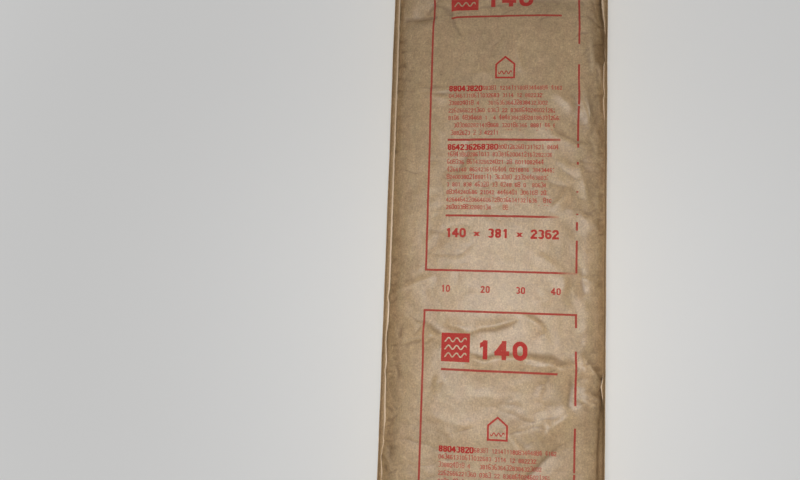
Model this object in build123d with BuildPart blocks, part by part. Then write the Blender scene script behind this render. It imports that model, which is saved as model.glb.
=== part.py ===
"""Kraft-faced glass wool batt, lying on its back with its paper face up.

The batt is one blanket of glass wool with one sheet of kraft paper glued over its face. The sheet
keeps the shape that it takes when the batt is pressed into place: it bulges across the middle,
rolls down over a shoulder at each long edge, and turns up again there as a stapling tab. A tab is
the sheet folded double: its outer ply is flat and upright in line with the batt's side, its inner
ply comes back down from the fold, and below the line where the tab is stapled that inner ply
springs away and ends in a cut edge over the shoulder.

X runs across the batt, Y along it and Z up, away from the back. The origin is the middle of the
back, so the batt rests on Z = 0.
"""

import os
from math import cos, radians, sin, sqrt

from build123d import *

# Batt: sold 15 in wide, 93 in long and 5.5 in thick
batt_width = 381.0
batt_length = 2362.0
batt_thickness = 139.7

# Paper: one ply of kraft with the bitumen that glues it to the wool
paper_thickness = 0.5

# Face: slope where the bulge meets the shoulder, then the shoulder's radius and its last slope
crown_angle = 5.0
shoulder_radius = 48.0
shoulder_angle = 60.0

# Stapling tab, from the shoulder up: the sprung ply's gap, lean and rise, then the flat part
cut_edge_clearance = 3.0
loose_ply_lean = 4.5
loose_ply_rise = 6.5
flat_tab_height = 9.0

# Wool: the soft rounding of the back's edges and of the four upright corners
wool_edge_radius = 9.0

# Worked out: the bulge's radius, so that the paper's top reaches the tab's outer ply
half_width = batt_width / 2
outer_ply_x = half_width - paper_thickness
inner_ply_x = outer_ply_x - paper_thickness
crown_turn = radians(crown_angle)
shoulder_turn = radians(shoulder_angle)
shoulder_run = shoulder_radius * (sin(shoulder_turn) - sin(crown_turn))
crown_radius = (outer_ply_x - shoulder_run) / sin(crown_turn)

# Worked out: the valley between the shoulder and the tab
crown_drop = crown_radius * (1 - cos(crown_turn))
shoulder_drop = shoulder_radius * (cos(crown_turn) - cos(shoulder_turn))
valley_z = batt_thickness - crown_drop - shoulder_drop

# Worked out: the inner ply's cut edge over the shoulder, the staples above it, and the tab's fold
cut_edge_x = inner_ply_x - loose_ply_lean
shoulder_centre_x = outer_ply_x - shoulder_radius * sin(shoulder_turn)
shoulder_centre_z = valley_z - shoulder_radius * cos(shoulder_turn)
cut_edge_reach = cut_edge_x - shoulder_centre_x
shoulder_z = shoulder_centre_z + sqrt(shoulder_radius**2 - cut_edge_reach**2)
cut_edge_z = shoulder_z + cut_edge_clearance
staple_z = cut_edge_z + loose_ply_rise
tab_top_z = staple_z + flat_tab_height


def half_underside():
    """Draws the paper's underside, which is also the wool's top, from the middle to the side."""
    inner_crown_radius = crown_radius - paper_thickness
    inner_shoulder_radius = shoulder_radius - paper_thickness
    middle = (0, batt_thickness - paper_thickness)
    crown = JernArc(middle, (1, 0), inner_crown_radius, -crown_angle)
    shoulder = JernArc(crown @ 1, crown % 1, inner_shoulder_radius, crown_angle - shoulder_angle)
    slope = shoulder % 1
    last_run = (half_width - (shoulder @ 1).X) / slope.X
    return Line(shoulder @ 1, shoulder @ 1 + slope * last_run)


# Wool blanket
with BuildPart() as glass_wool:
    with BuildSketch(Plane.XZ):
        with BuildLine():
            wool_shoulder_end = half_underside()
            Polyline(wool_shoulder_end @ 1, (half_width, 0), (0, 0))
            mirror(about=Plane.YZ)
        make_face()
    extrude(amount=batt_length / 2, both=True)
    back_edges = glass_wool.faces().sort_by(Axis.Z)[0].edges()
    upright_corners = glass_wool.edges().filter_by(Axis.Z)
    fillet(back_edges + upright_corners, wool_edge_radius)

# Paper face with its two stapling tabs, one folded sheet
with BuildPart() as kraft_facing:
    with BuildSketch(Plane.XZ):
        with BuildLine():
            crown_top = JernArc((0, batt_thickness), (1, 0), crown_radius, -crown_angle)
            JernArc(crown_top @ 1, crown_top % 1, shoulder_radius, crown_angle - shoulder_angle)
            facing_shoulder_end = half_underside()
            Polyline(
                (outer_ply_x, valley_z),
                (outer_ply_x, staple_z),
                (cut_edge_x + paper_thickness, cut_edge_z),
                (cut_edge_x, cut_edge_z),
                (inner_ply_x, staple_z),
                (inner_ply_x, tab_top_z),
                (half_width, tab_top_z),
                facing_shoulder_end @ 1,
            )
            mirror(about=Plane.YZ)
        make_face()
    extrude(amount=batt_length / 2, both=True)

# Write each piece
glass_wool.part.label = "glass_wool"
kraft_facing.part.label = "kraft_facing"
os.makedirs("parts", exist_ok=True)
export_step(glass_wool.part, "parts/glass_wool.step")
export_step(kraft_facing.part, "parts/kraft_facing.step")
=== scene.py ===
# %% [markdown]
# # A kraft-faced glass wool batt
#
# The real thing is a springy blanket of glass wool with one sheet of brown kraft paper glued over
# its face. Along each long edge the sheet is folded double and stands up as a stapling tab. The
# paper is what one sees: it bulges over the wool, rolls down at both edges, and carries soft
# dents, sharp creases and thin red print.
#
# The frame comes first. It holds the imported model, and everything below is fitted to it.

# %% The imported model
import math

import bpy
import numpy as np
from mathutils import Matrix, Vector


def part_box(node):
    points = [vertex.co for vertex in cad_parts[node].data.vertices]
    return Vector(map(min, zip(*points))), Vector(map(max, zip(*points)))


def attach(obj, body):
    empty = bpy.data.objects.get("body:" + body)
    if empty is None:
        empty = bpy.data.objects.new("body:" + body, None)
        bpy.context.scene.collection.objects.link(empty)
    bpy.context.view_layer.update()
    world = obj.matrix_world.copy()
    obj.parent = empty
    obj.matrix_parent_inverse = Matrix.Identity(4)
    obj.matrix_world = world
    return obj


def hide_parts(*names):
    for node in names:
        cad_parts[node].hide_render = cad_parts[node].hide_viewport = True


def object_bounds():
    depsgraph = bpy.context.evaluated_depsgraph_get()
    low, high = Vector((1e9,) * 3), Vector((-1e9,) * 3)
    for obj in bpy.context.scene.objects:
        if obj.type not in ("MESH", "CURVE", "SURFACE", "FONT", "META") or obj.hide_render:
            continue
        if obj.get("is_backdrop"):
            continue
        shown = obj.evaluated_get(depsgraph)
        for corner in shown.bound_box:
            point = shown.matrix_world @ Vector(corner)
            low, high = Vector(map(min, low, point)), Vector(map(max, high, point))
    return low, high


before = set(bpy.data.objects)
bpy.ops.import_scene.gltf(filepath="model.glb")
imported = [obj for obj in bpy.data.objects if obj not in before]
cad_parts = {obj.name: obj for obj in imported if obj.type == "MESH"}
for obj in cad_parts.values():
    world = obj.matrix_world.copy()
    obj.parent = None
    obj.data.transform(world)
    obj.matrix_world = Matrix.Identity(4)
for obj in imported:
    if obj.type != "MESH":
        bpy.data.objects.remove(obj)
cad_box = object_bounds()
paper_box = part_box("kraft_facing")
MM = 0.001
half_width = paper_box[1][0]
half_length = paper_box[1][1]
crown_z = paper_box[1][2]
print("batt", [round(float(v) / MM) for v in cad_box[1] - cad_box[0]], "mm")

# %% [markdown]
# ## Camera
#
# The photograph shows the batt upright. Here it lies on its back, so the same view looks down on
# it. A camera can be found by hand, or worked out from known sizes. It is worked out here: the
# batt's two long edges and the slopes of the printed rules give its height, its lean and its
# turn, and both ends of the batt stay outside the frame.


# %% Camera
def put_in_scene(name, data):
    """Makes an object of data, such as a mesh, a lamp or a camera."""
    thing = bpy.data.objects.new(name, data)
    bpy.context.collection.objects.link(thing)
    return thing


camera_place = Vector((21.6, -160.0, 1443.3)) * MM
camera_turn = {"Y": 8.13, "X": 6.09, "Z": 2.05}
camera = put_in_scene("camera", bpy.data.cameras.new("camera"))
camera.data.lens = 33.75
turned = Matrix.Identity(3)
for axis, degrees in camera_turn.items():
    turned = turned @ Matrix.Rotation(math.radians(degrees), 3, axis)
camera.matrix_world = Matrix.Translation(camera_place) @ turned.to_4x4()
bpy.context.scene.camera = camera
print("camera", [round(v, 3) for v in camera_place], "lens", camera.data.lens)

# %% [markdown]
# ## How to write a finish
#
# A shader is a sum over sockets, and it reads best as a sum. One small class wraps a socket, so
# that `paper * 0.9 + stain` adds the nodes for it. Numbers go through Math nodes and colours
# through Vector Math, because a Math node would turn a colour grey. Every other node comes from
# one method, which takes its type, its settings and its sockets.


# %% A socket that can be added up
def maths(operation, swapped=False):
    """A method that adds one maths node for a wire and what it is worked with."""

    def method(wire, *others):
        terms = (*others, wire) if swapped else (wire, *others)
        return wire.sum(operation, *terms)

    return method


class Wire:
    """One output socket of a finish, with sums that add the nodes they need."""

    __add__ = maths("ADD")
    __radd__ = maths("ADD", swapped=True)
    __sub__ = maths("SUBTRACT")
    __rsub__ = maths("SUBTRACT", swapped=True)
    __mul__ = maths("MULTIPLY")
    __rmul__ = maths("MULTIPLY", swapped=True)
    __truediv__ = maths("DIVIDE")
    __abs__ = maths("ABSOLUTE")
    __gt__ = maths("GREATER_THAN")
    __lt__ = maths("LESS_THAN")
    floor = maths("FLOOR")
    root = maths("SQRT")
    sine = maths("SINE")
    cosine = maths("COSINE")
    wrapped = maths("FLOORED_MODULO")
    least = maths("MINIMUM")
    most = maths("MAXIMUM")
    near = maths("COMPARE")

    def __init__(self, finish, socket):
        self.finish = finish
        self.socket = socket

    def __neg__(self):
        return self * -1.0

    def sum(self, operation, *terms):
        """One maths node on terms; colours and places take the kind that keeps all three parts."""
        wide = any(
            isinstance(t, tuple) or (isinstance(t, Wire) and t.socket.type in ("VECTOR", "RGBA"))
            for t in terms
        )
        kind = "ShaderNodeVectorMath" if wide else "ShaderNodeMath"
        if wide:
            terms = [(t,) * 3 if isinstance(t, (int, float)) else t for t in terms]
        return self.finish.add(kind, {"operation": operation}, dict(enumerate(terms)))


# %% [markdown]
# `a.near(b, reach)` is 1 where a lies within reach of b and else 0, and `a.wrapped(b)` is what is
# left of a after whole times b. A finish then has one method for each node that isn't maths.


# %% A finish
class Finish:
    """One material, or the sky, whose nodes are added by formulas."""

    def __init__(self, owner):
        owner.use_nodes = True
        self.owner = owner
        self.tree = owner.node_tree
        self.tree.nodes.clear()

    def add(self, kind, settings=None, sockets=None, out=0):
        """Adds a node: its type, its settings, what goes into its sockets, and what comes out."""
        node = self.tree.nodes.new(kind)
        for name, value in (settings or {}).items():
            if name == "stops":
                self.set_stops(node.color_ramp, value)
            elif name == "blend":
                node.color_ramp.interpolation = value
            else:
                setattr(node, name, value)
        for name, value in (sockets or {}).items():
            if isinstance(value, Wire):
                self.tree.links.new(value.socket, node.inputs[name])
            else:
                node.inputs[name].default_value = value
        return Wire(self, node.outputs[out]) if node.outputs else node

    def set_stops(self, ramp, stops):
        """Gives a ramp its stops: (place, colour) or (place, number, kept as alpha)."""
        while len(ramp.elements) > 1:
            ramp.elements.remove(ramp.elements[0])
        for i, (place, shade) in enumerate(stops):
            stop = ramp.elements[0] if i == 0 else ramp.elements.new(place)
            stop.position = place
            stop.color = (*shade, 1.0) if isinstance(shade, tuple) else (0.0, 0.0, 0.0, shade)

    def ramp(self, value, stops):
        """Colours for values from 0 to 1."""
        return self.add("ShaderNodeValToRGB", {"stops": stops}, {"Fac": value})

    def table(self, value, stops):
        """Numbers for values from 0 to 1; each number holds until the next stop."""
        settings = {"stops": stops, "blend": "CONSTANT"}
        return self.add("ShaderNodeValToRGB", settings, {"Fac": value}, out="Alpha")

    def ease(self, value, low, high):
        """0 below low, 1 above high, and a smooth step between."""
        kind = {"interpolation_type": "SMOOTHSTEP"}
        sockets = {"Value": value, "From Min": low, "From Max": high}
        return self.add("ShaderNodeMapRange", kind, sockets)

    def mix(self, amount, a, b):
        """Colour a where amount is 0, and b where it is 1."""
        kind = {"data_type": "RGBA", "clamp_factor": True}
        return self.add("ShaderNodeMix", kind, {0: amount, 6: a, 7: b}, out=2)

    def noise(self, place, size, detail=2.0, roughness=0.5):
        """Noise with about one cloud in each size, in the unit of place."""
        sockets = {"Vector": place, "Scale": 1.0 / size, "Detail": detail, "Roughness": roughness}
        return self.add("ShaderNodeTexNoise", {}, sockets)

    def part(self, place, out):
        """The X, Y or Z of a place."""
        return self.add("ShaderNodeSeparateXYZ", {}, {"Vector": place}, out=out)

    def chance(self, x, y):
        """A random number from 0 to 1 for each pair of whole numbers."""
        place = self.add("ShaderNodeCombineXYZ", {}, {"X": x, "Y": y})
        kind = {"noise_dimensions": "2D"}
        return self.add("ShaderNodeTexWhiteNoise", kind, {"Vector": place}, out="Value")

    def surface(self, sockets, height, distance):
        """Ends the finish in one Principled shader, with bumps of distance, in metres."""
        bump = {"Height": height, "Distance": distance, "Strength": 1.0}
        sockets["Normal"] = self.add("ShaderNodeBump", {}, bump)
        shader = self.add("ShaderNodeBsdfPrincipled", {}, sockets)
        self.add("ShaderNodeOutputMaterial", {}, {"Surface": shader})
        return self.owner


# %% [markdown]
# ## The paper's cross-section
#
# The wool swells under the sheet, so it bulges in one long arc and rolls down over a tight
# shoulder at each edge. The same arcs are drawn here as in the solid model, but as a function:
# give it a distance `s` across the flat sheet and it says where that spot lies and which way it
# faces. Dents and creases can then be drawn on the flat sheet, as one draws on paper, and still
# land in the right place.

# %% The smooth section
crown_angle = math.radians(5.0)
shoulder_angle = math.radians(60.0)
shoulder_radius = 48.0 * MM
paper_thickness = 0.5 * MM
ply_x = half_width - paper_thickness
shoulder_run = shoulder_radius * (math.sin(shoulder_angle) - math.sin(crown_angle))
crown_radius = (ply_x - shoulder_run) / math.sin(crown_angle)
crown_length = crown_radius * crown_angle
face_half = crown_length + shoulder_radius * (shoulder_angle - crown_angle)


def section(s):
    """Where the paper's top lies at s metres from its middle line: x, z and the normal's x, z."""
    run = np.abs(s)
    on_crown = np.minimum(run, crown_length)
    turn = on_crown / crown_radius
    x = crown_radius * np.sin(turn)
    z = crown_z - crown_radius * (1 - np.cos(turn))
    past = np.maximum(run - crown_length, 0)
    angle = crown_angle + past / shoulder_radius
    x = x + shoulder_radius * (np.sin(angle) - math.sin(crown_angle))
    z = z - shoulder_radius * (math.cos(crown_angle) - np.cos(angle))
    turn = np.where(past > 0, angle, turn)
    return np.sign(s) * x, z, np.sign(s) * np.sin(turn), np.cos(turn)


print("sheet over the face", round(2 * face_half / MM, 1), "mm, valley at z",
      round(float(section(np.array([face_half]))[1][0]) / MM, 1), "mm")


# %% [markdown]
# ## Soft dents
#
# The wool under the paper isn't even, so the sheet follows it in soft dents of every size.
# Smooth random noise does that. A cloth simulation could too, but it would put its dents where
# it likes, and the dents of one photograph are wanted here.

# %% Smooth noise
noise_cells = 256  # a random table repeats after so many bumps


def soft_noise(x, y, size_x, size_y, seed):
    """Smooth random heights, about -1 to 1, with one bump in each size."""
    angle = np.random.default_rng(seed).uniform(0, 2 * np.pi, (noise_cells, noise_cells))
    gx, gy = x / size_x, y / size_y
    ix, iy = np.floor(gx).astype(int), np.floor(gy).astype(int)
    fx, fy = gx - ix, gy - iy

    def corner(i, j):
        a = angle[(ix + i) % noise_cells, (iy + j) % noise_cells]
        return np.cos(a) * (fx - i) + np.sin(a) * (fy - j)

    ux = fx**3 * (fx * (fx * 6 - 15) + 10)
    uy = fy**3 * (fy * (fy * 6 - 15) + 10)
    low = corner(0, 0) * (1 - ux) + corner(1, 0) * ux
    high = corner(0, 1) * (1 - ux) + corner(1, 1) * ux
    return 1.5 * (low * (1 - uy) + high * uy)


def line_noise(y, size, seed):
    """Smooth random numbers along one line, about -1 to 1."""
    return soft_noise(y, y * 0, size, 1, seed)


def share(value, low, high):
    """How far value has come from low to high, 0 to 1."""
    return np.clip((value - low) / (high - low), 0, 1)


def step(value, low, high):
    """The same, with a smooth start and end."""
    t = share(value, low, high)
    return t * t * (3 - 2 * t)


sample = line_noise(np.arange(999.0), 9, 0)
print("soft noise runs from", round(sample.min(), 2), "to", round(sample.max(), 2))

# %% [markdown]
# ## Creases
#
# Paper doesn't stretch, so it buckles into straight folds: a steep narrow flank, a sharp crest
# and a long shallow flank. A crease is given as it would be drawn, a line of points on the flat
# sheet in millimetres, with its lift and the reach of the flanks above and below the line.

# %% One crease
crease_far = 2.8  # a crease has faded at this many times its reach


def crease_height(s, y, line, lift, above, below, blunt=0.9, sharp=1.3, tip=0.03):
    """Height in mm of one crease at s, y in mm. Above is left of the line's direction."""
    best = np.full(s.shape, 1e9)
    side = np.ones(s.shape)
    along = np.zeros(s.shape)
    runs = [math.dist(a, b) for a, b in zip(line, line[1:])]
    whole, done = sum(runs), 0.0
    for (s0, y0), (s1, y1), run in zip(line, line[1:], runs):
        ds, dy = (s1 - s0) / run, (y1 - y0) / run
        t = np.clip((s - s0) * ds + (y - y0) * dy, 0, run)
        ds_off, dy_off = s - s0 - t * ds, y - y0 - t * dy
        away = np.hypot(ds_off, dy_off)
        near = away < best
        best = np.where(near, away, best)
        side = np.where(near, np.sign(ds * dy_off - dy * ds_off), side)
        along = np.where(near, (done + t) / whole, along)
        done += run
    reach = np.where(side > 0, above, below)
    away = np.sqrt(best**2 + blunt**2) - blunt
    taper = np.sin(np.pi * np.clip(along, tip, 1 - tip)) ** 0.6
    return lift * taper * np.exp(-((away / reach) ** sharp))


def add_creases(height, s, y, creases):
    """Adds each crease where it reaches, which is far quicker than everywhere."""
    for lift, above, below, line in creases:
        reach = crease_far * max(above, below)
        low = np.min(line, axis=0) - reach
        high = np.max(line, axis=0) + reach
        near = (s > low[0]) & (s < high[0]) & (y > low[1]) & (y < high[1])
        if near.any():
            height[near] += crease_height(s[near], y[near], line, lift, above, below)


# %% The creases of this batt
# lift, reach above, reach below, then the line: (across, along) from the middle of the batt, mm
photo_creases = [
    (8.4, 7, 30, [(-122, -168), (-109, -177), (-98, -186), (-84, -189)]),
    (4.6, 18, 4, [(-160, -199), (-142, -194), (-132, -190), (-116, -188)]),
    (2.8, 7, 4, [(-116, -195), (-98, -183)]),
    (3.6, 12, 6, [(-82, -163), (-58, -167), (-36, -178)]),
    (4.2, 14, 4.5, [(-42, -177), (-20, -168), (5, -165), (25, -158), (46, -150)]),
    (6.0, 5, 26, [(-42, -217), (-12, -226), (10, -220)]),
    (5.6, 5, 26, [(0, -219), (23, -218), (48, -218), (70, -221)]),
    (7.2, 7, 30, [(56, -217), (74, -220), (97, -222), (110, -227)]),
    (4.2, 4.5, 8, [(97, -217), (106, -234)]),
    (8.6, 7.5, 24, [(96, -229), (105, -230), (119, -231), (144, -227)]),
    (4.4, 4, 16, [(50, -144), (69, -153), (79, -160), (90, -174)]),
    (4.2, 5.5, 14, [(150, -203), (155, -226), (160, -246)]),
    (5.2, 5.5, 15, [(158, -220), (174, -242), (191, -264)]),
    (4.6, 5.5, 12, [(147, -269), (166, -277), (194, -290)]),
    (-4.6, 9, 6.5, [(132, -238), (134, -266), (131, -300)]),
    (4.0, 4.5, 7, [(149, -281), (164, -289), (179, -297)]),
    (-2.4, 7, 7, [(-160, -170), (-159, -192)]),
    (-2.8, 9, 9, [(-166, -234), (-159, -266)]),
    (-2.6, 7, 7, [(-174, -374), (-170, -402)]),
    (3.2, 6, 20, [(177, -258), (179, -275), (180, -330), (180, -400), (181, -480)]),
    (6.0, 12, 24, [(80, -350), (104, -330), (126, -312), (140, -300)]),
    (-4.2, 3.4, 14, [(52, -424), (79, -399), (94, -383), (116, -361)]),
    (-12.0, 24, 11, [(-180, 391), (-144, 391), (-106, 392)]),
    (-4.0, 14, 8, [(-134, 396), (-120, 412), (-104, 428)]),
    (-8.0, 22, 20, [(-84, 398), (-10, 408), (60, 416), (120, 414), (186, 404)]),
    (4.2, 14, 9, [(98, 250), (116, 232), (137, 212)]),
    (7.0, 8, 9, [(138, 264), (146, 234), (158, 204), (161, 190)]),
    (2.4, 6, 6, [(178, 244), (180, 222), (190, 200)]),
    (2.6, 7, 9, [(-190, -122), (-163, -108), (-132, -94), (-96, -79)]),
    (1.6, 6.8, 13.2, [(-36, -285), (-9, -283), (20, -288)]),
    (1.6, 9.5, 14.4, [(-110, -318), (-80, -327), (-48, -334)]),
    (1.3, 6.8, 8.4, [(-76, -340), (-60, -364)]),
    (1.4, 9.5, 14.4, [(44, -302), (62, -316), (79, -328)]),
    (3.4, 9.5, 12, [(-186, -386), (-173, -404), (-163, -420)]),
    (3.0, 4.1, 4.8, [(-146, 253), (-117, 250), (-82, 252)]),
    (3.2, 5.4, 10.8, [(-141, 245), (-116, 241), (-86, 234)]),
    (1.4, 8.1, 14.4, [(-46, 281), (-28, 283), (-8, 277)]),
    (4.4, 9.5, 4.8, [(161, 352), (164, 316), (169, 280)]),
    (3.8, 6.8, 4.8, [(174, 306), (181, 283), (186, 262)]),
    (1.9, 4.2, 8, [(138, 144), (148, 102), (159, 60), (169, 42)]),
    (1.6, 5.4, 9.6, [(104, 124), (138, 113), (151, 109)]),
    (1.3, 5.4, 9.6, [(108, 41), (127, 39), (146, 36)]),
    (2.6, 8, 7.2, [(158, 30), (171, 13), (179, -5)]),
    (1.6, 8.1, 10.8, [(73, -38), (94, -52), (114, -63)]),
    (2.7, 6.8, 10.8, [(138, -72), (159, -81), (181, -92)]),
    (-3.0, 12, 8, [(148, -56), (153, -84), (157, -112)]),
    (1.3, 6.8, 10.8, [(66, -121), (89, -118), (110, -113)]),
]
print(len(photo_creases), "creases placed by the photograph")

# %% [markdown]
# The photograph shows less than half of the batt. The rest gets creases of the same kinds at
# random, and a few of the long slanting buckles that such a batt takes when it is pressed into
# place.


# %% Creases for the rest of the length
def random_creases(rng, stretches):
    creases = []
    for low, high, count in stretches:
        for _ in range(count):
            s0, y0 = rng.uniform(-150, 170), rng.uniform(low, high)
            heading = rng.normal(0, 0.55) if rng.random() < 0.65 else rng.normal(-1.3, 0.3)
            line = [(s0, y0)]
            for _ in range(rng.integers(1, 4)):
                run = rng.uniform(14, 44)
                s0 += run * math.cos(heading)
                y0 += run * math.sin(heading)
                heading += rng.normal(0, 0.45)
                line.append((float(s0), float(y0)))
            lift = rng.uniform(1.4, 4.4) * (1 if rng.random() < 0.8 else -1)
            creases.append((lift, rng.uniform(4, 9), rng.uniform(9, 17), line))
    return creases


long_buckles = [
    (-3.2, 16, 26, [(-70, 760), (-44, 690), (-30, 610), (-12, 560)]),
    (2.6, 10, 24, [(40, 900), (22, 820), (16, 745)]),
    (-2.8, 14, 22, [(60, -560), (30, -640), (12, -730), (8, -800)]),
    (2.8, 12, 26, [(-120, -620), (-82, -700), (-66, -790)]),
    (2.4, 8, 18, [(-60, -905), (10, -925), (80, -900), (150, -930)]),
    (2.6, 8, 20, [(-150, 985), (-70, 1000), (10, 975), (96, 1004)]),
    (2.2, 6, 14, [(70, 600), (120, 640), (165, 650)]),
    (2.0, 6, 12, [(-185, 560), (-140, 590), (-90, 585)]),
]
sheet_creases = photo_creases + random_creases(
    np.random.default_rng(31), [(-1160, -470, 46), (470, 1160, 46), (-430, 430, 14)]
)
sheet_creases += long_buckles
print(len(sheet_creases), "creases in all")

# %% [markdown]
# ## The whole relief
#
# The relief is the sum of the uneven loft of the wool, soft dents, creases, patches where the
# paper is crumpled into small flat facets, and puckers that run in from the edges, where the
# tabs hold the sheet. It fades to nothing in the valley, where the sheet turns up into the tab.


# %% Crumpled patches
def facets(s, y, size, seed):
    """Flat facets with sharp edges, 0 to 1, from the distances to scattered points."""
    points = np.random.default_rng(seed).uniform(0, 1, (noise_cells, noise_cells, 2))
    gs, gy = s / size, y / size
    cell_s, cell_y = np.floor(gs).astype(int), np.floor(gy).astype(int)
    first = np.full(s.shape, 9.0)
    second = np.full(s.shape, 9.0)
    for i in (-1, 0, 1):
        for j in (-1, 0, 1):
            spot = points[(cell_s + i) % noise_cells, (cell_y + j) % noise_cells]
            away = np.hypot(cell_s + i + spot[..., 0] - gs, cell_y + j + spot[..., 1] - gy)
            second = np.minimum(second, np.maximum(first, away))
            first = np.minimum(first, away)
    return second - first


def wrinkles(s, y, size_s, size_y, seed):
    """Sharp thin valleys, 0 to 1, where smooth noise crosses zero."""
    return np.exp(-np.abs(soft_noise(s, y, size_s, size_y, seed)) / 0.10)


# %% How full the shoulders are
# along the batt in mm, and how far the wool fills each shoulder out there, in mm
right_fill = [
    (-700, 2.0), (-500, 0.0), (-290, 0.0), (-262, -1.0), (-247, -0.5), (-236, 5.0), (60, 7.5),
    (150, 6.0), (240, 3.0), (330, -1.0), (372, -2.2), (412, -6.0), (450, -6.0), (510, -2.0),
    (700, 2.0),
]
left_fill = [
    (-700, -1.0), (-440, -5.5), (-300, -5.5), (-150, -3.5), (0, -3.0), (120, -1.0), (700, -0.5),
]


def shoulder_fill(s, y):
    """How much further out the sheet lies on its shoulders than the smooth section, in mm."""
    right = np.interp(y, *np.array(right_fill).T) * share(s, 148, 192) ** 2
    left = np.interp(y, *np.array(left_fill).T) * np.sin(np.pi * share(-s, 110, 199) ** 2.2) ** 2
    return right + left


fills = [fill for place, fill in left_fill + right_fill]
print("shoulders filled by", min(fills), "to", max(fills), "mm")

# %% The relief
# soft dents in mm: size across and along, height, how much more at the edges, and the seed
soft_dents = [
    (90, 110, 1.2, 0.0, 2), (44, 46, 0.55, 0.25, 3), (21, 20, 0.22, 0.25, 4),
    (11, 11, 0.12, 0.12, 5),
]
# a swell of the middle, and a tilt of the face to the left: height, and where each comes and goes
swell_height, swell_comes, swell_goes = 6.0, (10, 335), (345, 470)
tilt_height, tilt_comes, tilt_goes = 9.0, (270, 370), (560, 700)
tilt_edges = (-170, 190)


def paper_relief(s, y):
    """Height of the real sheet over the smooth section, in mm, at s, y in mm."""
    height = 2.0 * soft_noise(s, y, 300, 420, 1)
    edges = step(np.abs(s), 85, 185)
    height += swell_height * (step(y, *swell_comes) - step(y, *swell_goes)) * (1 - edges)
    tilted = step(-y, *tilt_comes) - step(-y, *tilt_goes)
    height += tilt_height * (0.5 - step(s, *tilt_edges)) * tilted
    for size_s, size_y, dent, more, seed in soft_dents:
        height += (dent + more * edges) * soft_noise(s, y, size_s, size_y, seed)
    bent_s = s + 9 * soft_noise(s, y, 40, 40, 6)
    bent_y = y + 9 * soft_noise(s, y, 40, 40, 7)
    patches = step(soft_noise(s, y, 130, 150, 8), -0.05, 0.45)
    height += (0.25 + 0.75 * patches + 0.3 * edges) * (facets(bent_s, bent_y, 34, 9) - 0.35)
    height += (0.06 + 0.26 * patches + 0.1 * edges) * (facets(bent_s, bent_y, 15, 10) - 0.35)
    height -= (0.15 + 0.6 * patches) * wrinkles(bent_s, bent_y, 95, 42, 13)
    puckers = soft_noise(s, y, 80, 24, 11) + 0.5 * soft_noise(s, y, 34, 11, 12)
    height += 0.9 * step(np.abs(s), 135, 190) * puckers
    add_creases(height, s, y, sheet_creases)
    from_valley = face_half / MM - np.abs(s)
    return height * step(from_valley, 0, 14) + shoulder_fill(s, y) * step(from_valley, -0.5, 7)


# %% [markdown]
# ## Drawing a skin
#
# Paper and wool are both drawn as grids of points. A grid keeps clean rows, and up to two maps go
# on it: `sheet` holds where each point lies on the flat paper, in metres, for print and fibres,
# and `OFBake` lays the piece out in a square, so that its pattern can be kept as a picture later.


# %% A grid of points, and its place in a square
def grid_faces(rows, columns, closed):
    """Corners of each quad; a closed grid joins its last column to its first."""
    r = np.arange(rows - 1)[:, None]
    c = np.arange(columns if closed else columns - 1)[None, :]
    after = (c + 1) % columns
    here, right = r * columns + c, r * columns + after
    return np.stack([here, right, right + columns, here + columns], axis=-1).reshape(-1, 4)


def strips(around, along, count):
    """Lays a long skin out in a square: its length is cut in strips that lie side by side."""
    around = (around - around[0]) / (around[-1] - around[0])
    along = (along - along[0]) / (along[-1] - along[0])
    start = np.broadcast_to(along[:-1, None], (len(along) - 1, len(around) - 1))
    left = np.broadcast_to(around[:-1], start.shape)
    right = np.broadcast_to(around[1:], start.shape)
    finish = np.broadcast_to(along[1:, None], start.shape)
    strip = np.minimum((start + finish) / 2 * count // 1, count - 1)
    u = np.stack([left, right, right, left], axis=-1) * 0.98 + 0.01
    v = np.stack([start, start, finish, finish], axis=-1) * count - strip[..., None]
    places = np.stack([(u + strip[..., None]) / count, v * 0.98 + 0.01], axis=-1)
    return places.reshape(-1, 4, 2)


# %% A skin
def loop_length(rings):
    """How far round a closed grid each column lies, in metres."""
    steps = np.linalg.norm(np.diff(rings, axis=1, append=rings[:, :1]), axis=-1).mean(0)
    return np.concatenate([[0], np.cumsum(steps)])


def skin(name, points, around, along, strip_count, closed=False, flip=False, sheet=None, wear=None):
    """A smooth mesh of rows of points; around and along say where its columns and rows lie."""
    faces = grid_faces(*points.shape[:2], closed)
    maps = {"OFBake": strips(around, along, strip_count)}
    if flip:
        faces, maps["OFBake"] = faces[:, ::-1], maps["OFBake"][:, ::-1]
    if sheet is not None:
        maps = {"sheet": sheet.reshape(-1, 2)[faces.ravel()], **maps}
    mesh = bpy.data.meshes.new(name)
    mesh.vertices.add(points.size // 3)
    mesh.vertices.foreach_set("co", points.astype(np.float32).ravel())
    mesh.loops.add(faces.size)
    mesh.loops.foreach_set("vertex_index", faces.astype(np.int32).ravel())
    mesh.polygons.add(len(faces))
    mesh.polygons.foreach_set("loop_start", np.arange(0, faces.size, 4, dtype=np.int32))
    mesh.update(calc_edges=True)
    mesh.validate()
    for map_name, places in maps.items():
        layer = mesh.uv_layers.new(name=map_name, do_init=False)
        layer.uv.foreach_set("vector", places.astype(np.float32).ravel())
    # a mark for rubbed crests, painted shade in valleys and a painted highlight on the tabs' lip
    if wear is not None:
        mark = mesh.attributes.new("wear", "FLOAT", "POINT")
        mark.data.foreach_set("value", wear.astype(np.float32).ravel())
    mesh.shade_smooth()
    print(name, points.size // 3, "points", 2 * len(faces), "triangles")
    return put_in_scene(name, mesh)


# %% [markdown]
# ## The paper face
#
# Creases need a close grid, and a grid that is close everywhere is heavy. The rows lie 2.1 mm
# apart in the stretch that the camera sees and spread to 5.1 mm towards the ends. At each end
# one more row turns down by the paper's thickness, so that the cut shows as an edge.

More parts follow.
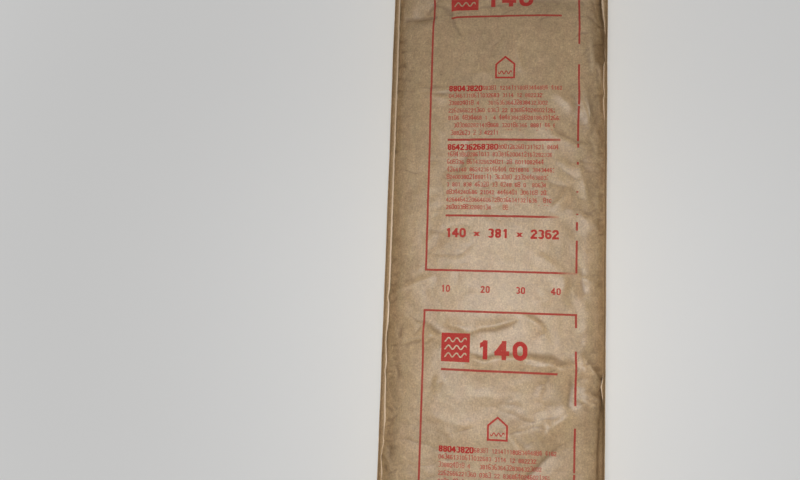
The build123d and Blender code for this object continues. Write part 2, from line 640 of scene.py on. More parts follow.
# %% Rows and columns of the face
close_row, more_at_ends = 2.1, 3.0  # mm from row to row
rows_spread = (0.44, 0.56)  # metres from the middle
middle_reach, middle_columns, shoulder_columns = 150, 89, 23
row_places = [-half_length]
while row_places[-1] < half_length:
    far = float(step(np.array(abs(row_places[-1])), *rows_spread))
    row_places.append(row_places[-1] + (close_row + more_at_ends * far) * MM)
row_places = np.array(row_places)
fitted = 2 * half_length / (row_places[-1] + half_length)
row_places = -half_length + (row_places + half_length) * fitted
column_places = np.concatenate([
    np.linspace(-face_half / MM, -middle_reach, shoulder_columns)[:-1],
    np.linspace(-middle_reach, middle_reach, middle_columns)[:-1],
    np.linspace(middle_reach, face_half / MM, shoulder_columns),
]) * MM
print("face", len(row_places), "rows,", len(column_places), "columns")

# %% The face
lip_in = 0.0006  # how much nearer the middle the turned row lies, as a share
full_bend = 90.0  # the bend, in 1/m, that rubs a crest most or paints the darkest shade into a valley


def bend(height, places, axis):
    """How sharply the relief bends along one axis: above 0 on a crest, below 0 in a valley."""
    return -np.gradient(np.gradient(height, places, axis=axis), places, axis=axis)


def with_end_rows(rows):
    """The same rows with the first and the last one twice."""
    return np.concatenate([rows[:1], rows, rows[-1:]])


sheet_s, sheet_y = np.meshgrid(column_places, row_places)
relief = paper_relief(sheet_s / MM, sheet_y / MM) * MM
x, z, normal_x, normal_z = section(sheet_s)
face_points = np.stack([x + normal_x * relief, sheet_y, z + normal_z * relief], axis=-1)
face_points = with_end_rows(face_points)
face_points[[0, -1]] -= [0, 0, paper_thickness]
face_points[[0, -1], :, 1] *= 1 - lip_in
# Crests are marked for rubbed wear, and valleys for painted shade.
face_wear_and_shade = bend(relief, row_places, 0) + bend(relief, column_places, 1)
face_wear_and_shade = np.clip(face_wear_and_shade / full_bend, -1, 1)
print("relief from", round(relief.min() / MM, 1), "to", round(relief.max() / MM, 1), "mm")

# %% The face as a mesh
paper_face = skin(
    "paper_face", face_points, column_places, np.arange(len(face_points)), 2,
    sheet=with_end_rows(np.stack([sheet_s, sheet_y], axis=-1)), wear=with_end_rows(face_wear_and_shade),
)

# %% [markdown]
# ## The stapling tabs
#
# Each tab is the sheet folded double. Its outer ply stands flat, in line with the batt's side. Its
# inner ply comes back down from the fold, is held along the line where staples go, and below
# that it springs away, curls, and ends in a cut edge that catches the light and has a painted
# highlight. How far it springs changes along the batt, so the lean is a curve through points read
# along the photograph.

# %% Heights on the tab, as in the solid
valley_z = float(section(np.array([face_half]))[1][0])
tab_top_z = 134.811 * MM
staple_z = 125.811 * MM
cut_edge_z = 119.311 * MM

# along the batt in mm, and the lean of the cut edge in mm
left_lean = [
    (-560, 6.4), (-430, 5.8), (-397, 2.6), (-372, 8.0), (-340, 8.2), (-300, 6.6), (-262, 6.2),
    (-250, 4.4), (-236, 6.4), (-206, 4.2), (-182, 4.0), (-165, 6.4), (-130, 6.8), (-119, 4.4),
    (-104, 6.8), (0, 7.2), (120, 6.8), (300, 7.0), (430, 6.4),
]
right_lean = [
    (-560, 2.0), (-430, 1.2), (-300, 0.8), (-279, 2.2), (-262, 4.8), (-243, 2.0), (-225, 0.7),
    (-60, 0.9), (80, 1.2), (150, 1.2), (200, 2.0), (222, 3.6), (238, 4.6), (250, 2.2), (262, 4.2),
    (300, 4.0), (310, 1.6), (322, 2.2), (356, 1.6), (372, 2.8), (396, 5.8), (418, 7.8),
    (446, 7.4), (480, 3.6),
]
# along the batt in mm, and how far the torn lip stands out of the cut edge, in mm
left_lip = [(-420, 1.1), (-388, 0.6), (-250, 0.65), (-222, 1.0), (430, 0.9)]
right_lip = [(0, 1.3), (380, 1.2)]


def lean_at(y, known, seed):
    """The known lean where the photograph shows it, and a random one of its kind beyond."""
    places, leans = np.array(known).T
    beyond = np.arange(600, 1260, 38.0)
    random_leans = np.random.default_rng(seed).uniform(1.2, 6.2, (2, len(beyond)))
    places = np.concatenate([-beyond[::-1], places, beyond])
    leans = np.concatenate([random_leans[0], leans, random_leans[1]])
    wobble = 0.35 * line_noise(y, 17, seed + 1) + 0.2 * line_noise(y, 7, seed + 2)
    return np.maximum(np.interp(y, places, leans) + wobble, 0.3)


print("tab from z", round(valley_z / MM, 1), "to", tab_top_z / MM, "mm")

# %% The tab's section at every row
tab_rows = 700
torn_points = slice(8, 13)  # the points of the section that lie on the torn lip
# the mark that paints a pale highlight on the torn lip
lip_highlight_mark = 3.0


def tab_points(side, rows, known, lips, seed):
    """Points round the folded tab at every row: up the outer ply, round the sprung one, and over."""
    y = rows / MM
    lean = lean_at(y, known, seed)
    sway = 0.35 * line_noise(y, 90, seed + 3) + 0.15 * line_noise(y, 24, seed + 4)
    rise = 0.5 * line_noise(y, 60, seed + 5)
    lip = np.interp(y, *np.array(lips).T) * (1 + 0.3 * line_noise(y, 45, seed + 6))
    lip = np.minimum(lip, 0.2 * lean)
    thick = paper_thickness / MM
    valley, top, staple, cut = (v / MM for v in (valley_z, tab_top_z, staple_z, cut_edge_z))
    sprung = np.linspace(0, 1, 6)[:-1]
    bends = list(zip(sprung**1.25, (staple - cut) * (1 - (1 - sprung) ** 1.9)))

    # how far each point lies in from the batt's side, and its height, in mm
    profile = [(thick + 0.1, valley - 0.9), (thick, 115.0), (thick + 0.4 * sway, 121.5)]
    profile += [(thick + (lean - 0.2) * i, staple - drop - 0.3 * i) for i, drop in bends]
    profile += [
        (thick + lean - 0.1, cut - 0.2), (thick + lean + lip, cut + 0.15),
        (thick + lean + lip, cut + 0.55), (thick + lean + 0.1, cut + 0.5),
    ]
    profile += [
        (2 * thick + (lean + 0.1) * i, staple - drop + 0.25 * i) for i, drop in reversed(bends)
    ]
    profile += [
        (2 * thick + sway, 129.5), (2 * thick + sway, top - 0.5 + rise),
        (1.5 * thick + sway, top - 0.06 + rise), (0.5 * thick + sway, top - 0.06 + rise),
        (sway, top - 0.5 + rise), (0.9 * sway, 126.0), (0.3 * sway, 116.0), (0 * sway, 107.6),
    ]
    loop = [np.stack(np.broadcast_arrays(half_width / MM - i, y, z), axis=-1) for i, z in profile]
    points = np.stack(loop, axis=1) * MM
    points[..., 0] *= side
    return points


# %% The tabs as meshes
def stapling_tab(name, side, known, lips, seed):
    """One tab as a closed skin; side is 1 on the right and -1 on the left."""
    rows = np.linspace(-half_length, half_length, tab_rows)
    points = tab_points(side, rows, known, lips, seed)
    around = loop_length(points)
    sheet = np.stack(np.meshgrid(side * (face_half + around[:-1]), rows), axis=-1)
    # the lip's points are marked for a painted highlight
    lip_highlight = np.zeros(points.shape[:2])
    lip_highlight[:, torn_points] = lip_highlight_mark
    return skin(
        name, points, around, rows, 6, closed=True, flip=side > 0, sheet=sheet, wear=lip_highlight
    )


tab_left = stapling_tab("stapling_tab_left", -1, left_lean, left_lip, 60)
tab_right = stapling_tab("stapling_tab_right", 1, right_lean, right_lip, 80)

# %% [markdown]
# ## The wool blanket
#
# Glass wool is spun into flat layers, so a cut side shows fine level lines, a few open seams
# between layers, and a fuzzy face that is never quite flat. The blanket is one closed skin: a
# loop around the section, repeated along the length, and closed at each end by smaller loops.
# Under the paper it keeps close below the relief, so that the two never cross.

# %% The loop around the wool
soft_edge = 9.0  # mm, the rounding of the back's edges and of the upright corners
top_count, side_count, turn_count, back_count = 49, 27, 5, 56
end_in = 1.5  # mm from the solid's end to the first full loop


def wool_loop():
    """Points round the wool's section, (x, z) in mm, and 1 for those on a cut side."""
    top_x, top_z = section(np.linspace(-face_half, face_half, top_count))[:2]
    loop = [(x / MM, z / MM, 0.0) for x, z in zip(top_x, top_z)]
    side = half_width / MM
    flat = side - soft_edge
    heights = np.linspace(valley_z / MM - 3.5, 10.5, side_count)
    turns = np.linspace(0, np.pi / 2, turn_count)[1:]
    round_in, round_up = soft_edge * np.cos(turns), soft_edge - soft_edge * np.sin(turns)
    loop += [(side, z, 1.0) for z in heights]
    loop += [(flat + x, z, 1.0) for x, z in zip(round_in, round_up)]
    loop += [(x, 0.0, 0.0) for x in np.linspace(flat, -flat, back_count)[1:]]
    loop += [(-flat - soft_edge * np.sin(t), soft_edge - soft_edge * np.cos(t), 1.0) for t in turns]
    loop += [(-side, z, 1.0) for z in heights[::-1]]
    return np.array(loop)


loop = wool_loop()
wool_rows = np.linspace(-1, 1, 420) * (half_length / MM - end_in)
print("wool loop", len(loop), "points,", len(wool_rows), "rows")

# %% [markdown]
# The layers are heights that wander a little along the batt. At each layer's edge the face
# steps in by a millimetre or two, and loose seams open between some of them.


# %% Layers of the wool
def layer_depth(along, height, seed):
    """How far the fibres stand proud of a cut face, in mm: level layers, seams and fuzz."""
    wander = height + 3.0 * soft_noise(along, height, 260, 60, seed)
    wander += 1.2 * soft_noise(along, height, 70, 30, seed + 1)
    depth = 1.5 * soft_noise(along, wander, 420, 9, seed + 2)
    depth += 1.0 * soft_noise(along, wander, 110, 5, seed + 3)
    depth += 0.7 * soft_noise(along, wander, 30, 7, seed + 4)
    depth += 1.8 * soft_noise(along, height, 150, 70, seed + 5)
    seams = np.abs(soft_noise(along, wander, 600, 26, seed + 6))
    return depth - 2.2 * (1 - step(seams, 0.0, 0.10))


# %% One loop at its place along the batt
core_z = 60.0  # mm, the height of the line that the ends close on
under_paper, under_at_middle = 1.2, 2.3  # mm that the wool keeps below the relief
side_range = (-5.0, 0.6)  # mm that the fibres of a cut side stand back or proud


def wool_ring(y, shrink):
    """One loop at y mm; shrink 1 is the full loop and 0 is its middle line."""
    x, z, cut = loop.T.copy()
    from_end = half_length / MM - abs(y)
    rounded = max(0.0, soft_edge - from_end)
    corner = soft_edge - math.sqrt(soft_edge**2 - rounded**2)
    near_side = np.abs(x) > half_width / MM - soft_edge - 0.5
    s_flat = np.linspace(-face_half, face_half, top_count) / MM
    lift = paper_relief(s_flat, np.full(top_count, float(y)))
    lift = lift - under_paper - under_at_middle * step(from_end, 0, 60)
    normal_x, normal_z = section(s_flat * MM)[2:]
    x[:top_count] += normal_x * lift
    z[:top_count] += normal_z * lift
    proud = np.zeros(len(x))
    for part, seed in (((cut > 0) & (x > 0), 20), ((cut > 0) & (x < 0), 40)):
        proud[part] = layer_depth(np.full(part.sum(), float(y)), z[part], seed)
    proud = np.clip(proud - 1.6, *side_range)
    x = x - np.sign(x) * corner * near_side
    x = x + np.sign(x) * proud * cut * np.where(z < soft_edge, 0.5, 1.0)
    return np.stack([x * shrink, np.full(len(x), float(y)), core_z + (z - core_z) * shrink], axis=-1)


# %% The ends of the wool
end_range = (-7.0, 1.4)  # mm that the fibres of an end stand back or proud


def wool_end(end):
    """The smaller and smaller loops that close one end; end is 1 or -1."""
    caps = []
    for shrink in np.linspace(1, 0, 22)[1:]:
        ring = wool_ring(end * (half_length / MM - end_in), max(shrink, 0.004))
        rough = layer_depth(ring[:, 0] * 1.3, ring[:, 2], 70 + end)
        rough = rough + 1.3 * soft_noise(ring[:, 0], ring[:, 2], 60, 45, 90 + end)
        from_edge = step(1 - shrink, 0.0, 0.12)
        ring[:, 1] += end * np.clip((rough - 1) * from_edge, *end_range)
        caps.append(ring)
    return caps


# %% The blanket
rings = wool_end(-1)[::-1] + [wool_ring(y, 1.0) for y in wool_rows] + wool_end(1)
rings = np.array(rings) * MM
rings[..., 2] = np.maximum(rings[..., 2], 0.0)
middle = len(rings) // 2
glass_wool_blanket = skin(
    "glass_wool_blanket", rings, loop_length(rings[middle:middle + 1]), np.arange(len(rings)), 2,
    closed=True, flip=True,
)

# %% [markdown]
# ## Kraft paper
#
# Unbleached kraft is brown pulp: fine fibres that mostly run along the web, darker flecks of
# bark and a soft sheen from the rollers. The sheen matters more than the brown. Under a lamp
# near the eye it whitens the middle of the bulge, and every small dent shows in it. So the
# paper's brown stays even, and its mottle comes from small bumps.

# %% Kraft paper
kraft = Finish(bpy.data.materials.new("kraft_paper"))
spot = kraft.add("ShaderNodeUVMap", {"uv_map": "sheet"}) * (1000.0, 1000.0, 1.0)
# One mark: rubbed wear on crests, painted shade in valleys, and a painted highlight on the tabs'
# lip.
wear_and_painted_light_mark = kraft.add("ShaderNodeAttribute", {"attribute_name": "wear"}, out="Fac")

clouds = kraft.noise(spot, 60.0, 2.0)
mottle = kraft.noise(spot * (1.0, 0.8, 1.0), 13.0, 3.0, 0.65)
pulp = kraft.noise(spot * (1.0, 0.6, 1.0), 4.5, 3.0, 0.6)
grain = kraft.noise(spot, 3.2, 3.0, 0.75)
fibres = kraft.noise(spot * (1.0, 0.14, 1.0), 1.5, 3.0, 0.7)
flecks = kraft.noise(spot * (1.0, 0.5, 1.0), 2.4, 1.0)
cockle = kraft.noise(spot * (1.0, 0.7, 1.0), 9.0, 2.0, 0.55)
tone = kraft.noise(spot * (1.0, 0.4, 1.0), 17.0, 2.0)

paper_shade = kraft.ramp(
    clouds * 0.30 + mottle * 0.38 + pulp * 0.32,
    [(0.33, (0.272, 0.174, 0.087)), (0.50, (0.378, 0.252, 0.133)), (0.67, (0.478, 0.326, 0.182))],
)
redder, greener = (1.04, 0.97, 0.98), (0.96, 1.03, 0.98)
bare_paper = kraft.mix(tone, paper_shade * redder, paper_shade * greener)
bare_paper = bare_paper * (0.04 + fibres * 0.52 + grain * 1.40)
for amount, colour in (
    (kraft.ease(flecks, 0.67, 0.75) * 0.40, (0.16, 0.095, 0.045, 1.0)),  # flecks of bark
    (kraft.ease(wear_and_painted_light_mark, 0.12, 0.9) * 0.12, (0.56, 0.42, 0.27, 1.0)),  # rubbed crests
    (kraft.ease(-wear_and_painted_light_mark, 0.10, 0.9) * 0.5, (0.19, 0.115, 0.058, 1.0)),  # painted shade in the valleys of creases
    (kraft.ease(wear_and_painted_light_mark, 1.5, 2.5) * 0.9, (0.65, 0.485, 0.32, 1.0)),  # painted highlight on the tabs' torn lip
):
    bare_paper = kraft.mix(amount, bare_paper, colour)
print("kraft paper has", len(kraft.tree.nodes), "nodes before its print")

# %% [markdown]
# ## The print
#
# The web is printed in one red before it is glued to the wool, and the print repeats every
# 628 mm. It is drawn with formulas on the flat sheet, so it bends with every crease. Each frame
# holds a block, large figures, rules, a small picture, two paragraphs and one bold line. None
# of the words on a real facing are drawn. Plain figures take their place: the batt's thickness
# and size in millimetres, a scale, and two tables of numbers that mean nothing.

# %% Where a spot lies in the print
print_repeat = 628.0
frame_top = -141.0
margin = 10.0  # how far over a frame its repeat starts
ragged = kraft.noise(spot, 1.3, 1.0) * 0.7 - 0.35
across = kraft.part(spot, "X") + ragged
along = kraft.part(spot, "Y") + ragged
down = (frame_top + margin - along).wrapped(print_repeat) - margin
print("the print repeats", round(2 * half_length / MM / print_repeat, 1), "times on the batt")

# %% Frame and rules
frame_left, frame_right, frame_bottom = -117.5, 141.5, 557.5
line_half = 1.75
frame_middle = (frame_left + frame_right) / 2
frame_reach = (frame_right - frame_left) / 2 + line_half
inside_width = across.near(frame_middle, frame_reach)
inside_height = down.near(frame_bottom / 2, frame_bottom / 2 + line_half)
worn_right = 1.0 - kraft.ease(across, 104.0, 134.0) * 0.75

# what is left of the frame's worn right side, in mm down the print
dashes = [
    (0, 22), (59, 151), (187, 261), (263, 324), (330, 337), (361, 367), (413, 415), (453, 455),
    (467, 482), (499, 556),
]
dash_stops = []
for dash_start, dash_end in dashes:
    dash_stops += [(dash_start / print_repeat, 1.0), (dash_end / print_repeat, 0.0)]
dash_line = kraft.table(down / print_repeat, dash_stops)

line_ink = across.near(frame_left, line_half) * inside_height
line_ink = line_ink.most(down.near(0.0, line_half) * inside_width)
line_ink = line_ink.most(down.near(frame_bottom, line_half) * inside_width * worn_right)
line_ink = line_ink.most(across.near(frame_right, line_half) * inside_height * dash_line)
print("frame", frame_right - frame_left, "by", frame_bottom, "mm,", len(dashes), "dashes")

# %% Three rules
rule_left, rule_right, rule_half = -85.5, 110.5, 1.9
first_rule, middle_rule, last_rule = 100.1, 325.8, 461.0
in_measure = across.near((rule_left + rule_right) / 2, (rule_right - rule_left) / 2)
for rule_down, fading in ((first_rule, 0.0), (middle_rule, 0.25), (last_rule, 0.8)):
    faded = 1.0 - kraft.ease(across, 80.0, 112.0) * fading
    line_ink = line_ink.most(down.near(rule_down, rule_half) * in_measure * faded)
print("rules", rule_right - rule_left, "mm long")


# %% The wave that stands for insulation in building drawings
def wave(place, height, length, swing, half):
    """1 on a wavy line along place, which swings about height 0."""
    turn = place * (2 * math.pi / length)
    slope = turn.cosine() * (swing * 2 * math.pi / length)
    steep = (slope * slope + 1.0).root()
    return ((height - turn.sine() * swing) / steep).near(0.0, half)


# %% A block with three waves, and a small house
block_across, block_down, block_half = -61.5, 62.3, 24.5
wave_pitch, wave_half = 13.0, 19.0
in_block = across.near(block_across, block_half) * down.near(block_down, block_half)
block_row = (down - block_down + wave_pitch / 2).wrapped(wave_pitch) - wave_pitch / 2
block_waves = wave(across, block_row, 14.0, 3.2, 1.1)
block_waves = block_waves * across.near(block_across, wave_half) * down.near(block_down, wave_half)
ink = line_ink.most(in_block * (1.0 - block_waves))

house_across, house_base, house_half, house_top = 13.0, 216.0, 17.5, 41.0
house_line = 1.6
roof_slope, roof_shortening = 0.84, 0.766
house_side = abs(across - house_across)
house_up = house_base - down
past_side = house_side - house_half
past_roof = (house_up + house_side * roof_slope - house_top) * roof_shortening
house = past_side.most(past_roof).most(-house_up).near(-house_line, house_line)
house_wave = wave(across - house_across, house_up - 11.0, 8.0, 2.4, 0.9)
ink = ink.most(house.most(house_wave * across.near(house_across, 12.0)))
print("block", 2 * block_half, "mm wide, house", 2 * house_half, "mm wide")

# %% [markdown]
# Every figure stands in a cell. The print has four kinds of rows: the large figures, the tables,
# the bold line, and the scale between two frames. A table of numbers, looked up by the distance
# down the print, says for each kind how large its rows, cells and strokes are.


# %% Rows and cells
def by_row_kind(large, table, bold, scale, most=100.0):
    """The number for the kind of row here; none of the four is over most."""
    stops = [(0.0, large), (150.0, table), (468.0, bold), (540.0, scale)]
    stops = [(place / print_repeat, value / most) for place, value in stops]
    return kraft.table(down / print_repeat, stops) * most


row_pitch = 13.44
table_one, table_two = 226.3, 332.0
large_down, bold_down, scale_down = 44.3, 481.2, 581.3
in_table = by_row_kind(0, 1, 0, 0, 1.0)
in_second = in_table * (down > middle_rule)
first_row = by_row_kind(large_down, table_one, bold_down, scale_down, 1000.0)
first_row = first_row + in_second * (table_two - table_one)
pitch_here = by_row_kind(40.0, row_pitch, 20.0, 16.0)
row_place = (down - first_row) / pitch_here
row_number = row_place.floor()
figure_y = (row_number + 0.5 - row_place) * pitch_here

narrow_cell, bold_more = 4.96, 2.48
run_in = across + by_row_kind(28.2, -rule_left, -rule_left, 90.6)
bold_run = in_second * (6 * narrow_cell) + 12 * narrow_cell
bold_word = (row_number < 0.5) * in_table * (run_in < bold_run)
cell_size = by_row_kind(30.5, narrow_cell, 12.3, 8.6) + bold_word * bold_more
cell_place = run_in / cell_size
cell_number = cell_place.floor()
figure_x = (cell_place - cell_number - 0.5) * cell_size
print("table rows every", row_pitch, "mm, cells every", narrow_cell, "mm")

# %% How tall, wide and bold the figures are
row_key = row_number + in_second * 40.0
raised = (kraft.chance(cell_number, row_key + 11.5) > 0.72) * in_table * (1.0 - bold_word) * 0.95
figure_y = figure_y - raised
tall = by_row_kind(12.2, 3.1, 6.5, 4.9) + bold_word * 1.3 + raised
wide = by_row_kind(8.6, 1.6, 3.7, 2.4) + bold_word * 0.75
pen = by_row_kind(3.9, 0.70, 1.95, 1.15) + bold_word * 0.60
print("kraft paper has", len(kraft.tree.nodes), "nodes before its figures")

# %% Which figure stands in each cell
figure_order = "0123468x"
key_range = 64.0


def cell_table(key, texts):
    """Looks up the figures of texts, each given with the key of its first cell."""
    stops = {0: 0.0}
    for start, text in texts:
        for i, mark in enumerate(text + " "):
            stops[start + i] = 0.0 if mark == " " else (figure_order.index(mark) + 1) / 10
    kept = []
    for k in sorted(stops):
        if not kept or stops[k] != kept[-1][1]:
            kept.append(((k - 0.5 * (k > 0)) / key_range, stops[k]))
    return kraft.table(key / key_range, kept)


figure_key = cell_number + by_row_kind(1.0, 60.0, 8.0, 30.0)
which_set = cell_table(figure_key, [(1, "140"), (8, "140 x 381 x 2362")])
which_scale = cell_table(figure_key, [(30, "10"), (38, "20"), (45, "30"), (52, "40")])
pick = (kraft.chance(cell_number, row_key) * 8.2).floor().least(7.0) * 0.1
which_table = pick.most(bold_word * 0.1)
which = which_set.most(which_scale) * (1.0 - in_table)
which = which.most(which_table * in_table)
print("set figures: 140, 140 x 381 x 2362 and the scale 10 20 30 40")

# %% Where each row ends
no_row = -100.0  # left of every figure
row_ends = [
    (table_one, [112, 80, 91, 101, 110, 101, 3]),
    (table_two, [107, 97, 83, 101, 90, 87, 90, 97, 23]),
]
end_stops = [(0.0, no_row), (large_down, 61.0), (large_down + 40.0, no_row)]
for start, ends in row_ends:
    end_stops += [(start + i * row_pitch, row_end) for i, row_end in enumerate(ends)]
    end_stops.append((start + len(ends) * row_pitch, no_row))
end_stops += [
    (bold_down, 112.0), (bold_down + 20.0, no_row), (scale_down, 118.0), (scale_down + 16.0, no_row),
]
end_stops = [(place / print_repeat, (row_end - no_row) / 400.0) for place, row_end in end_stops]
row_end_here = kraft.table(down / print_repeat, end_stops) * 400.0 + no_row
which = which * (run_in > 0.0) * (across < row_end_here)
print("rows in the tables", [len(ends) for start, ends in row_ends])

# %% [markdown]
# A font would need a picture or a mesh for each figure. Here a figure is a few strokes, and a
# spot is inked where its distance to a stroke is less than the pen's half width.


# %% Figures
def length_of(x, y):
    return (x * x + y * y).root()


def ring():
    """The outline of 0, which 6 shares."""
    straight = (abs(figure_y) - (tall - wide)).most(0.0)
    return (length_of(figure_x, straight) - wide).near(0.0, pen)


def one():
    stem = figure_x.near(wide * 0.25, pen) * figure_y.near(0.0, tall + pen)
    flag = (figure_y - tall - (figure_x - wide * 0.25) * 0.6).near(0.0, pen * 1.1)
    return stem.most(flag * figure_x.near(wide * -0.25, wide * 0.55))


def two():
    bowl_y = figure_y - (tall - wide)
    bowl = (length_of(figure_x, bowl_y) - wide).near(0.0, pen)
    bowl = bowl * (bowl_y > 0.0).most((figure_x > 0.0) * (bowl_y > wide * -0.7))
    slant = (figure_x - (figure_y + tall) * 0.72 + wide) * 0.81
    slant = slant.near(0.0, pen) * figure_y.near(tall * -0.45, tall * 0.55)
    base = figure_y.near(-tall, pen) * figure_x.near(0.0, wide + pen)
    return bowl.most(slant).most(base)


def eight():
    half_tall = tall * 0.5
    return (length_of(figure_x, abs(figure_y) - half_tall) - half_tall).near(0.0, pen)


def three():
    return eight() * (figure_x > 0.0).most(abs(figure_y) > tall * 0.75)


def four():
    stem = figure_x.near(wide * 0.4, pen) * figure_y.near(0.0, tall + pen)
    bar = figure_y.near(tall * -0.4, pen) * figure_x.near(0.0, wide + pen)
    slant = ((figure_x - wide * 0.4) - (figure_y - tall) * 0.72) * 0.81
    slant = slant.near(0.0, pen) * figure_y.near(tall * 0.3, tall * 0.7)
    return stem.most(bar).most(slant)


def six():
    bowl = length_of(figure_x, figure_y + (tall - wide)) - wide
    arm = ring() * (figure_x < 0.0).most(figure_y > tall - wide * 0.45)
    return bowl.near(0.0, pen).most(arm)


def cross():
    arms = (abs(figure_x) - abs(figure_y + wide * 0.5)).near(0.0, pen * 1.2)
    return arms * (figure_y + wide * 0.5).near(0.0, wide)


# %% The figures in their cells
figures = 0.0
for i, draw in enumerate((ring, one, two, three, four, six, eight, cross)):
    figures = (draw() * which.near((i + 1) / 10, 0.04)).most(figures)
weight = kraft.ease(kraft.noise(spot, 26.0, 2.0), 0.3, 0.7) * 0.25 + 0.66 + bold_word * 0.30
ink = ink.most(figures * (1.0 - in_table).most(weight))
print("kraft paper has", len(kraft.tree.nodes), "nodes with its figures")

# %% Ink on the paper
ink_wear = kraft.ease(kraft.noise(spot, 2.2, 2.0, 0.6), 0.30, 0.52)
ink_cover = kraft.ease(kraft.noise(spot, 40.0, 2.0), 0.25, 0.75) * 0.07 + 0.93
ink = ink * (0.88 + ink_wear * 0.12) * ink_cover
figure_red, line_red = (0.410, 0.014, 0.010, 1.0), (0.350, 0.028, 0.017, 1.0)
printed_paper = kraft.mix(ink, bare_paper, kraft.mix(line_ink, figure_red, line_red))
kraft_finish = kraft.surface(
    {
        "Base Color": printed_paper,
        "Roughness": 0.43 + pulp * 0.10 + ink * 0.42,
        "Specular IOR Level": 0.72,
    },
    height=pulp * 0.9 + grain * 0.35 + fibres * 0.3 + cockle * 0.25,
    distance=0.00026,
)
print("kraft paper has", len(kraft.tree.nodes), "nodes in all")

# %% [markdown]
# ## Glass wool
#
# The wool is spun glass held by a little yellow-brown binder. Light goes into it rather than
# off it, so it looks matt and soft. Its lines lie level, as its fibres do.

# %% Glass wool
wool = Finish(bpy.data.materials.new("glass_wool"))
wool_spot = wool.add("ShaderNodeTexCoord", {}, out="Object") * (1000.0, 1000.0, 1000.0)
layer_lines = wool.noise(wool_spot * (0.10, 0.10, 1.0), 2.4, 3.0, 0.6)
layer_bands = wool.noise(wool_spot * (0.06, 0.06, 1.0), 9.0, 2.0)
matting = wool.noise(wool_spot * (0.6, 0.6, 1.0), 5.0, 4.0, 0.75)
tufts = wool.noise(wool_spot * (0.5, 0.5, 1.0), 15.0, 3.0, 0.6)
wool_clouds = wool.noise(wool_spot, 60.0, 2.0)
wool_shade = wool.ramp(
    layer_lines * 0.24 + layer_bands * 0.16 + matting * 0.32 + tufts * 0.18 + wool_clouds * 0.10,
    [(0.30, (0.60, 0.40, 0.16)), (0.48, (0.84, 0.64, 0.32)), (0.68, (0.94, 0.79, 0.50))],
)
wool_finish = wool.surface(
    {"Base Color": wool_shade, "Roughness": 0.95, "Specular IOR Level": 0.15},
    height=layer_lines * 0.8 + matting * 1.5 + tufts * 1.2,
    distance=0.0030,
)
print("glass wool has", len(wool.tree.nodes), "nodes")

# %% [markdown]
# ## What each piece stands for
#
# The batt is one body, so all four pieces ride on it. Each piece takes the place of a packed
# solid, and the face and the tabs share one, because the real sheet is one. Each gets its finish.

# %% Every piece gets its finish, its body and its solid
for piece in (paper_face, tab_left, tab_right):
    piece.data.materials.append(kraft_finish)
    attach(piece, "root")
    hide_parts("kraft_facing")
glass_wool_blanket.data.materials.append(wool_finish)
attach(glass_wool_blanket, "root")
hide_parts("glass_wool")
print("four pieces ride on the one body")

# %% [markdown]
# ## Floor and light
#
# A plain pale floor and plain light, as in a studio. The sky lights the batt evenly. Four long
# softboxes stand as low as the batt, for its sides and ends, and two small lamps hang over its
# ends. One more hangs beside the camera, where a camera's own lamp would be: the sheen in the
# middle of the picture is its reflection, and it fades outwards.
#
# The floor and the sky are made paler for the camera alone, so that they throw no more light on
# the batt, and the floor still shows the batt's shadow.


# %% A paler look for the camera
def seen_directly(finish):
    """1 for rays from the camera, also after a mirror or glass, else 0."""
    straight, mirrored, through = (
        finish.add("ShaderNodeLightPath", {}, out=name)
        for name in ("Is Camera Ray", "Is Glossy Ray", "Is Transmission Ray")
    )
    return straight.most(mirrored).most(through)


# %% Floor
backdrop = (0.72, 0.72, 0.715)
floor_colour = (0.80, 0.795, 0.785, 1.0)
floor_reach = 40.0
shadow_near, shadow_far, haze_at_batt = 0.3, 2.4, 0.48
floor_mesh = bpy.data.meshes.new("floor")
corners = [(x * floor_reach, y * floor_reach, 0) for x, y in ((-1, -1), (1, -1), (1, 1), (-1, 1))]
floor_mesh.from_pydata(corners, [], [(0, 1, 2, 3)])
ground = Finish(bpy.data.materials.new("floor"))
lit = ground.add("ShaderNodeBsdfPrincipled", {}, {"Base Color": floor_colour, "Roughness": 0.9})
pale = ground.add("ShaderNodeEmission", {}, {"Color": (*backdrop, 1.0), "Strength": 1.0})
ground_spot = ground.add("ShaderNodeTexCoord", {}, out="Object")
length = {"operation": "LENGTH"}
from_batt = ground.add("ShaderNodeVectorMath", length, {0: ground_spot}, out="Value")
haze = ground.ease(from_batt, shadow_near, shadow_far) * (1 - haze_at_batt) + haze_at_batt
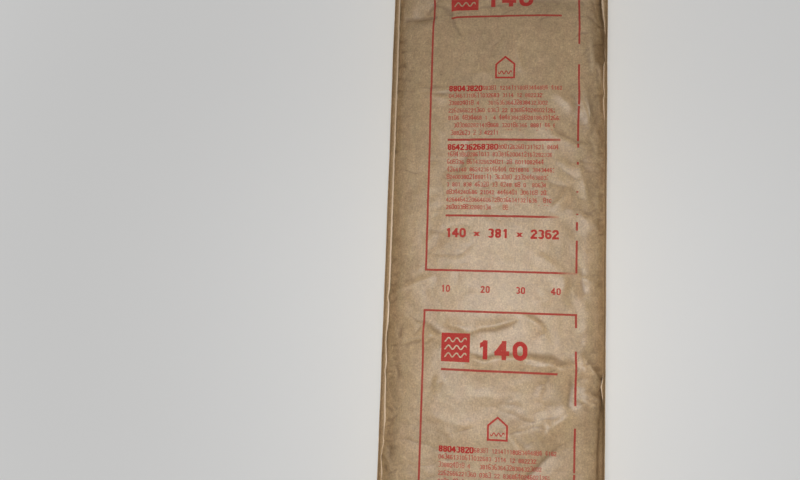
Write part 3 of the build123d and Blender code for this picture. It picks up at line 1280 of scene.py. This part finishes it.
blend = ground.add("ShaderNodeMixShader", {}, {0: seen_directly(ground) * haze, 1: lit, 2: pale})
ground.add("ShaderNodeOutputMaterial", {}, {"Surface": blend})
floor_mesh.materials.append(ground.owner)
put_in_scene("floor", floor_mesh)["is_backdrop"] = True
print("floor", 2 * floor_reach, "m wide")


# %% Lamps
def softbox(name, place, aim, width, height, watts, spread):
    """A flat lamp that looks from place to aim and spreads its light over so many degrees."""
    lamp = bpy.data.lights.new(name, "AREA")
    lamp.shape = "RECTANGLE"
    lamp.size = width
    lamp.size_y = height
    lamp.energy = watts
    lamp.spread = math.radians(spread)
    box = put_in_scene(name, lamp)
    box.location = place
    box.rotation_euler = (Vector(aim) - Vector(place)).to_track_quat("-Z", "Y").to_euler()
    print(name, watts, "W")


softbox("camera_lamp", (0.0, -0.12, 1.50), (0.04, -0.19, 0.1), 0.18, 0.18, 3.72, 100.0)
low = 0.07  # half the batt's height
for side, x, y, watts in (
    ("near", 0.8, -6.5, 22.0), ("far", -0.8, 6.5, 16.0),
    ("left", -6.5, -1.0, 17.0), ("right", 6.5, 1.0, 22.0),
):
    softbox("softbox_" + side, (x, y, low), (0.0, 0.0, low), 6.0, 0.12, watts, 60.0)
for side, y in (("near", -1.15), ("far", 1.15)):
    softbox("end_lamp_" + side, (0.0, y, 1.2), (0.0, y, 0.1), 0.5, 0.4, 1.0, 75.0)


# %% Sky
fill = 0.21
world = bpy.data.worlds.new("studio")
bpy.context.scene.world = world
sky = Finish(world)
shade = sky.mix(seen_directly(sky), (fill, fill, fill, 1.0), (*backdrop, 1.0))
dome = sky.add("ShaderNodeBackground", {}, {"Color": shade, "Strength": 1.0})
sky.add("ShaderNodeOutputWorld", {}, {"Surface": dome})
bpy.context.scene.view_settings.view_transform = "Standard"
print("sky fills the shadows with", fill)

# %% Sizes, and the end
full_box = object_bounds()
sizes = {"cad": cad_box, "visual": full_box}
sizes = {name: [list(map(float, corner)) for corner in box] for name, box in sizes.items()}
print("visual", [round(float(v) / MM) for v in full_box[1] - full_box[0]], "mm")
